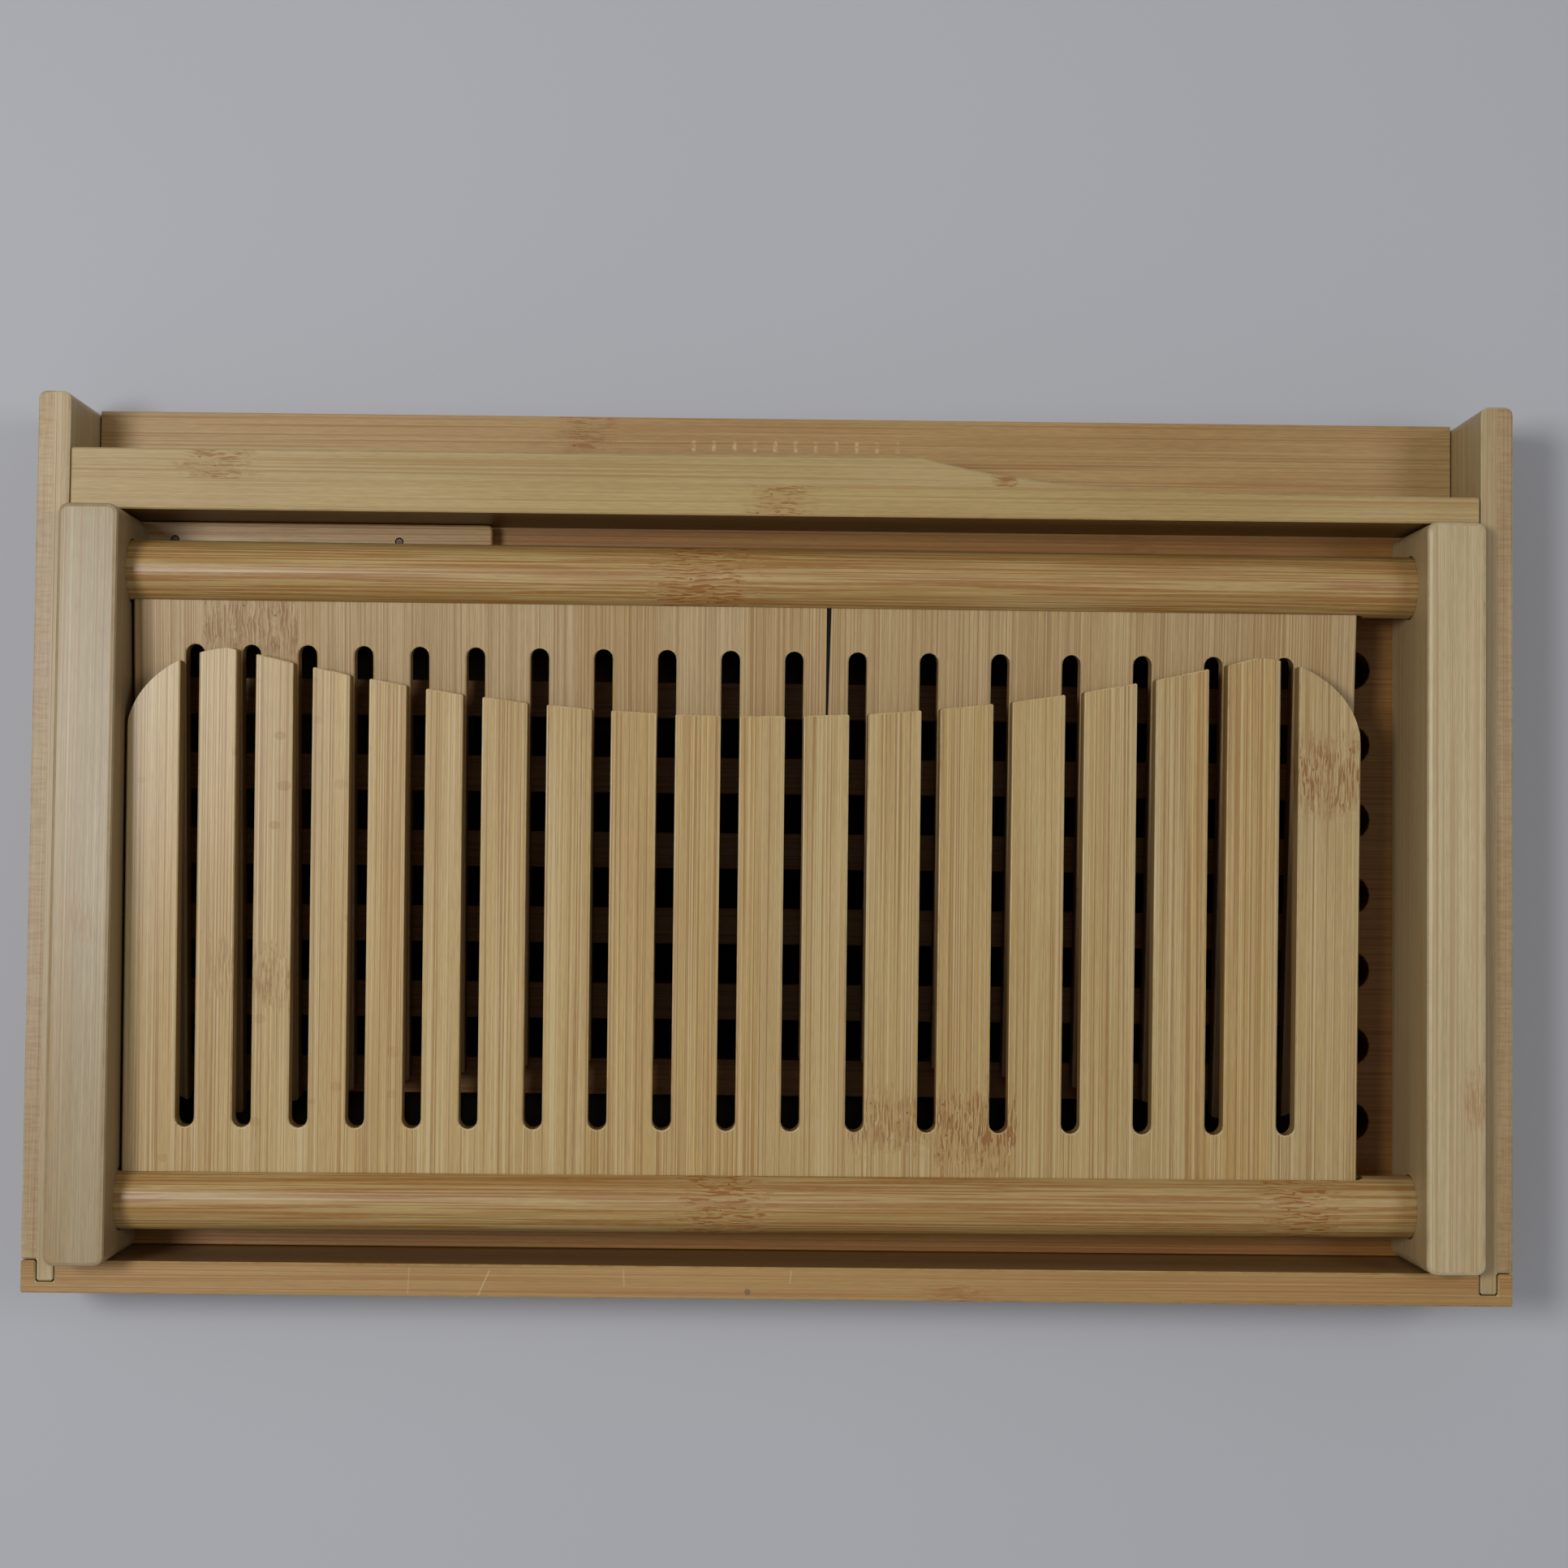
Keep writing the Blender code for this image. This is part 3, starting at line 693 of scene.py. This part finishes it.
front = bamboo(
    "bamboo_front_comb", "Y", lean=(1.88, 1.11), strip=(21.4, 60.0), shift=(39.3, 0.0), seed=3.0,
    fibre=0.42, length=90.0, streaks=0.50,
    knuckles=[(-67.0, -29.0, 9.0, 10.6, 0.8), (-68.5, -50.6, 12.0, 10.6, 1.0),
              (20.5, -138.8, 12.0, 10.6, 1.0), (-32.5, 125.2, 9.0, 6.0, 0.7),
              (-30.0, 135.7, 9.0, 4.2, 0.6)],
    body=seen(167, 141, 91), deep=seen(153, 125, 72), streak=seen(126, 84, 32),
    pale=seen(186, 168, 128), contrast=0.30, strength=0.66, light=0.50, coat=0.35)
tree = front["tree"]
place = split(tree, front["spot"])
drops = add_node(tree, "ShaderNodeTexVoronoi", {
    "Vector": vector_node(tree, "MULTIPLY", front["spot"], DRIP_SCALE), "Scale": 1.0}).outputs
size = scale_and_add(tree, split_colour(tree, drops["Color"])[0], 0.16, 0.02)
spots = remap(tree, minus(tree, drops["Distance"], size), -0.02, 0.03, 1.0, 0.0)
spots = times(tree, spots, remap(tree, place[1], DRIPS_FROM, DRIPS_FULL))
colour = mix_colour(tree, times(tree, spots, 0.7), front["colour"],
                    (0.86, 0.80, 0.66, 1.0), "MULTIPLY")
for along, across, radius in LARGE_DRIPS:
    away = vector_node(tree, "SUBTRACT", front["spot"], (along, across, ABOVE_TABLE))
    away = vector_node(tree, "LENGTH", vector_node(tree, "MULTIPLY", away, (1.35, 1.0, 0.0)))
    drip = remap(tree, away, radius - 0.3, radius + 0.2, 0.95, 0.0)
    colour = mix_colour(tree, drip, colour, (0.83, 0.73, 0.52, 1.0), "MULTIPLY")
repaint(front, colour)
dress(front_board, front["material"])

# %% [markdown]
# The back comb lies underneath. Its strips are a little pinker and its streaks finer. One of
# its glue joints has opened near the dowel. That gap could be cut into the shape, but it is
# only a hair wide, so the finish carries it: a dark wedge that narrows away from the dowel,
# and without the varnish's shine.

# %% Back comb
WEDGE_TIP, WEDGE_MOUTH = 8.5, 64.5     # mm along the grain
WEDGE_HALF = 0.62                      # mm, half its width at the mouth
WEDGE_SLANT, WEDGE_AT = -0.010, -12.5  # its middle line: slope, and mm across the grain
SOFT = 0.05                            # mm

back = bamboo(
    "bamboo_back_comb", "Y", lean=(6.17, 1.11), strip=(21.2, 60.0), shift=(13.1, 0.0), seed=8.0,
    fibre=0.40, length=70.0, streaks=0.60, knuckles=[(57.7, 131.6, 11.0, 12.0, 1.0)],
    body=seen(161, 135, 93), deep=seen(147, 119, 75), streak=seen(120, 82, 40),
    pale=seen(182, 162, 124), contrast=0.25, strength=0.50, light=0.45)
tree = back["tree"]
place = split(tree, back["spot"])
half = remap(tree, place[0], WEDGE_TIP, WEDGE_MOUTH, 0.0, WEDGE_HALF, smooth=False)
middle_line = scale_and_add(tree, place[0], WEDGE_SLANT, WEDGE_AT)
gap = absolute(tree, minus(tree, place[1], middle_line))
wedge = remap(tree, minus(tree, gap, half), -SOFT, SOFT, 1.0, 0.0)
repaint(back, mix_colour(tree, wedge, back["colour"], seen(8, 5, 3)))
feed(tree, back["shader"].inputs["Coat Weight"], remap(tree, wedge, 0.0, 0.3, COAT, 0.0))
dull = remap(tree, wedge, 0.0, 1.0)
rough = back["shader"].inputs["Roughness"]
feed(tree, rough, larger(tree, rough.links[0].from_socket, dull))
dress(back_board, back["material"])

# %% [markdown]
# ## The dowels
#
# The dowels are turned from a thick block of glued strips, so they show the strongest
# streaks of all, orange brown on straw. A knuckle runs right round a dowel. The noise is
# solid, so turning the block into a rod needs no unwrapping: the rod simply cuts through it.

# %% Dowels
LEAN = (0.0, 1.11)  # degrees, of the whole frame: its left bar rests on the cleat

for name, seed, bumps in (
        ("front_dowel", 5.0, [(-12.4, -89.0, 13.0, 30.0, 1.0), (131.0, -89.0, 12.0, 30.0, 0.9)]),
        ("back_dowel", 11.0, [(-19.3, 67.0, 16.0, 30.0, 1.0)])):
    rod = bamboo(
        "bamboo_" + name, "X", lean=LEAN, strip=(40.0, 40.0), shift=(20.0, 20.0), seed=seed,
        fibre=0.55, length=34.0, streaks=0.85, knuckles=bumps, body=seen(161, 135, 86),
        deep=seen(147, 116, 64), streak=seen(130, 82, 28), pale=seen(176, 154, 108),
        contrast=0.2, strength=0.78, light=0.30, roughness=0.5, coat=0.3, edges=0.0, sawn_and_shade=0.0)
    dress(name, rod["material"])

# %% [markdown]
# ## The end bars
#
# The end bars are thick blocks, about 15 mm, glued from layers on edge. Their tops are the
# palest and smoothest faces of the guide.

# %% End bars
# The last numbers scale a bar's colours. The left bar's are painted shade, darkening the bar that
# the left lamp lights most. The right bar's only shift its tone.
for name, seed, bump_at, off in (
        ("left_end_bar", 21.0, (-20.0, 168.0, 6.0, 3.0, 0.5), (0.72, 0.71, 0.68)),
        ("right_end_bar", 25.0, (-61.0, -174.5, 9.0, 5.0, 1.0), (1.04, 1.07, 1.08))):
    bar = bamboo(
        "bamboo_" + name, "Y", lean=LEAN, strip=(7.4, 17.5), shift=(0.0, 4.0), seed=seed,
        fibre=0.45, length=90.0, streaks=0.40, knuckles=[bump_at],
        body=shade(seen(168, 149, 112), *off), deep=shade(seen(154, 132, 92), *off),
        streak=seen(142, 98, 52), pale=shade(seen(186, 172, 140), *off),
        contrast=0.25, strength=0.36, light=0.35, roughness=0.5, coat=0.2, sawn_and_shade=0.5)
    dress(name, bar["material"])

# %% [markdown]
# ## The tray's walls
#
# The walls are 8 mm thick and glued from two layers of 4 mm, so their tops show a fine line
# down the middle and two slightly different tones. The side walls' inner layer runs on into
# the front wall as a tongue. Their outer layer is pinker and still carries the fine marks of
# the saw, which run across the wall: one more noise, squeezed the other way.

# %% Side walls
LAYER = (4.0, 19.0)              # mm, width and depth of a wall's strips
SAW_SCALE = (1.4, 0.22, 0.22)    # per mm

low, high = mm_box("right_side_wall")
middle = (low[0] + high[0]) / 2
# The last numbers scale a wall's colours as painted light: painted sheen makes the left wall
# paler and bluer, and the right wall is made lighter.
for name, side, seed, off in (("left_side_wall", 1.0, 31.0, (1.27, 1.42, 1.66)),
                              ("right_side_wall", -1.0, 38.0, (1.09, 1.22, 1.34))):
    wall = bamboo(
        "bamboo_" + name, "Y", strip=LAYER, shift=(side * -middle, 0.0), seed=seed, fibre=0.45,
        length=70.0, streaks=0.40, body=shade(seen(160, 140, 100), *off),
        deep=shade(seen(146, 120, 76), *off), streak=seen(136, 94, 50),
        pale=shade(seen(178, 160, 122), *off), contrast=0.4, strength=0.5, light=0.35, sawn_and_shade=0.0)
    tree = wall["tree"]
    place = split(tree, wall["spot"])
    outer = remap(tree, absolute(tree, place[1]), middle - 0.2, middle + 0.2)
    hatch = noise(tree, vector_node(tree, "MULTIPLY", wall["spot"], SAW_SCALE), 1.0)[0]
    hatched = times(tree, remap(tree, hatch, 0.40, 0.66, 0.35, 1.0), outer)
    repaint(wall, mix_colour(tree, hatched, wall["colour"], (0.86, 0.76, 0.70, 1.0), "MULTIPLY"))
    dress(name, wall["material"])

# %% [markdown]
# The front wall takes the knocks: four fine scratches run across its top, and there is one
# small dark spot. A scratch is a thin line, so it is the distance to a slanted line, cut off
# at both ends.

# %% Front wall
SCRATCHES = (  # place along the wall, slant, both ends from the wall's middle, strength
    (-88.7, 0.05, -3.4, 3.2, 0.18), (-69.9, 0.45, -3.6, 2.6, 0.40),
    (-35.5, -0.05, -1.0, 3.0, 0.26), (5.5, 0.10, 0.0, 3.2, 0.26))
END_SOFT = 0.2  # mm

low, high = mm_box("front_wall")
middle = (low[1] + high[1]) / 2
wall = bamboo(
    "bamboo_front_wall", "X", strip=LAYER, shift=(-middle, 0.0), seed=44.0, fibre=0.45,
    length=90.0, streaks=0.60, knuckles=[(47.0, -110.0, 12.0, 2.2, 0.8)],
    body=seen(160, 133, 83), deep=seen(146, 117, 66), streak=seen(134, 84, 34),
    pale=seen(176, 153, 106), contrast=0.3, strength=0.6, light=0.35, sawn_and_shade=0.6, coat=0.25)
tree = wall["tree"]
place = split(tree, wall["spot"])
from_middle = minus(tree, place[1], middle)
colour = wall["colour"]
for at, slant, low_end, high_end, depth in SCRATCHES:
    line = plus(tree, times(tree, from_middle, -slant), place[0])
    line = absolute(tree, minus(tree, line, at))
    mark = times(tree, remap(tree, line, 0.10, 0.26, depth, 0.0),
                 remap(tree, from_middle, low_end - END_SOFT, low_end + END_SOFT))
    mark = times(tree, mark, remap(tree, from_middle, high_end - END_SOFT, high_end + END_SOFT,
                                   1.0, 0.0))
    colour = mix_colour(tree, mark, colour, seen(192, 176, 142))
away = vector_node(tree, "DISTANCE", wall["spot"], (-5.0, -110.1, low[2] + 38.0))
repaint(wall, mix_colour(tree, remap(tree, away, 0.5, 1.0, 0.7, 0.0), colour, seen(84, 70, 48)))
dress("front_wall", wall["material"])

# %% [markdown]
# ## The divider and the cleat
#
# The divider is the rail between the combs' well and the knife ledge, two layers of 7.7 mm.
# At the right its back layer is cut away for the knife's handle. The cleat is a small board
# on the deck, under the left end bar, held by two pins.

# %% Divider
low, high = mm_box("knife_divider")
divider = bamboo(
    "bamboo_divider", "X", strip=(7.7, 30.0), shift=(-low[1], 0.0), seed=52.0, fibre=0.45,
    length=110.0, streaks=0.42,
    knuckles=[(-139.0, 94.0, 10.0, 3.7, 1.3), (1.8, 86.4, 9.0, 3.8, 1.4),
              (57.5, 94.0, 3.5, 3.6, 1.5)],
    body=seen(160, 137, 89), deep=seen(147, 120, 68), streak=seen(130, 88, 34),
    pale=seen(174, 155, 114), contrast=0.35, strength=0.42, light=0.30, sawn_and_shade=1.0)
dress("knife_divider", divider["material"])

# %% Cleat and pins
cleat = bamboo(
    "bamboo_cleat", "X", strip=(21.0, 20.0), shift=(5.0, 0.0), seed=61.0, fibre=0.5,
    length=55.0, streaks=0.55, knuckles=[(-125.0, 76.0, 9.0, 8.0, 0.35)],
    body=seen(150, 121, 76), deep=seen(138, 105, 58), streak=seen(124, 76, 34),
    pale=seen(168, 142, 98), contrast=0.2, strength=0.6, light=0.35)
dress("cleat", cleat["material"])
pin = bamboo(
    "bamboo_pin", "X", strip=(9.0, 9.0), seed=66.0, fibre=0.2, length=2.0, streaks=0.7,
    body=seen(98, 66, 40), deep=seen(76, 46, 26), streak=seen(50, 26, 12),
    pale=seen(118, 84, 54), contrast=0.3, strength=0.9, roughness=0.6, edges=0.0)
dress("cleat_pin_left", pin["material"])
dress("cleat_pin_right", pin["material"])

# %% [markdown]
# ## The deck
#
# The base board is one wide board: the slotted deck under the combs and the floor of the
# knife ledge behind the divider. It is the warmest piece. In the well its colour is darker:
# that is painted shade, for the well lies deep under the combs, between the front wall and
# the divider. A bread knife put back on the ledge has left a row of small pale nicks beside
# the divider, one for each tooth. They are one mark repeated, so the fraction of x over
# their spacing draws them all, two ranges cut off the row, and a noise makes some of them
# faint.

# %% Base board
WELL_SHADE = (0.74, 0.55, 0.28, 1.0)
TOOTH_SHIFT, TOOTH_SPACING = 24.3, 5.32         # mm
NICK_ROW = ((0, 5.0, 29.0), (1, 104.7, 1.4))    # axis, middle and half length, mm
ROW_SOFT = 0.3                                  # mm

deck = bamboo(
    "bamboo_deck", "X", strip=(20.5, 30.0), shift=(3.0, 0.0), seed=71.0, fibre=0.5, length=80.0,
    streaks=0.55, knuckles=[(-49.4, 107.0, 8.0, 7.0, 0.9), (94.0, 80.5, 8.0, 6.0, 0.5)],
    body=seen(159, 126, 74), deep=seen(144, 107, 54), streak=seen(126, 80, 28),
    pale=seen(172, 144, 96), contrast=0.3, strength=0.52, light=0.35)
tree = deck["tree"]
place = split(tree, deck["spot"])
rail = mm_box("knife_divider")[0][1]
# Painted shade: the deck is darker in the well.
well = remap(tree, place[1], rail - 1.0, rail + 1.0, 1.0, 0.0)
colour = mix_colour(tree, well, deck["colour"], WELL_SHADE, "MULTIPLY")
tooth = ratio(tree, plus(tree, place[0], TOOTH_SHIFT), TOOTH_SPACING)
tooth = absolute(tree, minus(tree, math_node(tree, "FRACT", tooth), 0.5))
nick = remap(tree, tooth, 0.03, 0.14, 1.0, 0.0)
for axis, middle, reach in NICK_ROW:
    off = absolute(tree, minus(tree, place[axis], middle))
    nick = times(tree, nick, remap(tree, off, reach - ROW_SOFT, reach + ROW_SOFT, 1.0, 0.0))
chipped = noise(tree, deck["spot"], 0.5, 3.0, 0.7)[0]
nick = times(tree, nick, remap(tree, chipped, 0.38, 0.62, 0.05, 0.75))
repaint(deck, mix_colour(tree, nick, colour, seen(190, 168, 130)))
dress("base_board", deck["material"])

# %% [markdown]
# ## Floor, light and camera
#
# The guide lies on a plain pale cloth, which is the floor here. A cloth's tone drifts a
# little, so its colour comes from a very soft noise. Hardly any light gets under the tray:
# seen through the slots of the deck, the cloth is black. Pale cloth would glow there, so it
# is painted dark inside the tray's outline.

# %% Floor
CLOTH_SIZE = 4.0                         # metres
INSET_FROM, INSET_TO = 0.006, 0.002      # metres inside the tray's outline, where dark begins

bpy.ops.mesh.primitive_grid_add(x_subdivisions=2, y_subdivisions=2, size=CLOTH_SIZE,
                                location=(0.0, 0.0, 0.0))
floor = bpy.context.object
floor.name = "floor"
cloth = bpy.data.materials.new("pale_cloth")
cloth.use_nodes = True
tree = cloth.node_tree
where = add_node(tree, "ShaderNodeTexCoord").outputs["Object"]
drift = noise(tree, where, 3.0)[0]
tone = mix_colour(tree, drift, seen(168, 169, 174), seen(174, 175, 180))
place = split(tree, where)
low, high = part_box("base_board")
covered = 1.0
for axis in (0, 1):
    middle, half = (low[axis] + high[axis]) / 2, (high[axis] - low[axis]) / 2
    off = absolute(tree, minus(tree, place[axis], middle))
    covered = times(tree, remap(tree, off, half - INSET_FROM, half - INSET_TO, 1.0, 0.0), covered)
tone = mix_colour(tree, covered, tone, seen(24, 18, 12))
matt = tree.nodes["Principled BSDF"]
feed(tree, matt.inputs["Base Color"], tone)
matt.inputs["Roughness"].default_value = 0.9
matt.inputs["Specular IOR Level"].default_value = 0.1
floor.data.materials.append(cloth)
print("floor:", [round(v, 2) for v in floor.dimensions])

# %% [markdown]
# Two lamps light the guide: a soft one nearly above its left edge, and a weaker one further
# to the right. The room gives the rest. The shadows say where the lamps are. The left wall
# rises 28 mm over the ledge and throws a shadow about 8 mm long, so the left lamp is 15
# degrees off the vertical there. At the right end the gap beside the combs gets none of its
# light, so it must lean further over by then, which only a lamp within a metre does.

# %% Lamps and world
ROOM_COLOUR = (0.97, 0.98, 1.0, 1.0)
ROOM_STRENGTH = 0.31


def lamp(name, location, size, power):
    light = bpy.data.lights.new(name, "AREA")
    light.shape = "DISK"
    light.size = size
    light.energy = power
    holder = bpy.data.objects.new(name, light)
    bpy.context.scene.collection.objects.link(holder)
    holder.location = location
    holder.rotation_euler = (-holder.location).to_track_quat("-Z", "Y").to_euler()
    print(name, "at", location, power, "W")


lamp("lamp_left", (-0.43, 0.08, 0.95), 0.28, 5.9)
lamp("lamp_right", (0.66, 0.12, 0.92), 0.36, 2.5)
world = bpy.data.worlds.new("room")
bpy.context.scene.world = world
world.use_nodes = True
room = world.node_tree.nodes["Background"].inputs
room["Color"].default_value = ROOM_COLOUR
room["Strength"].default_value = ROOM_STRENGTH
print("room light:", ROOM_STRENGTH)

# %% [markdown]
# The camera hangs 67 cm over the middle of the tray and looks almost straight down. Its
# place, its turn and its lens were worked out together, from the straight edges of the tray.
# Setting them by eye would do for a pretty picture, but the marks on a board can only be
# compared with a photograph when both are seen from the same spot.

# %% Camera
camera =bpy.data.objects.new("camera", bpy.data.cameras.new("camera"))
bpy.context.scene.collection.objects.link(camera)
camera.location = (-0.00074, -0.00781, 0.67499)
camera.rotation_euler = [math.radians(angle) for angle in (2.0996, -0.3342, 0.6087)]
camera.data.sensor_width = 36.0
camera.data.lens = 58.81
bpy.context.scene.camera = camera
bpy.context.scene.view_settings.view_transform = "Standard"
print("camera at", [round(v, 3) for v in camera.location])

# %% [markdown]
# Last, the view layer is brought up to date.

# %% Update
bpy.context.view_layer.update()
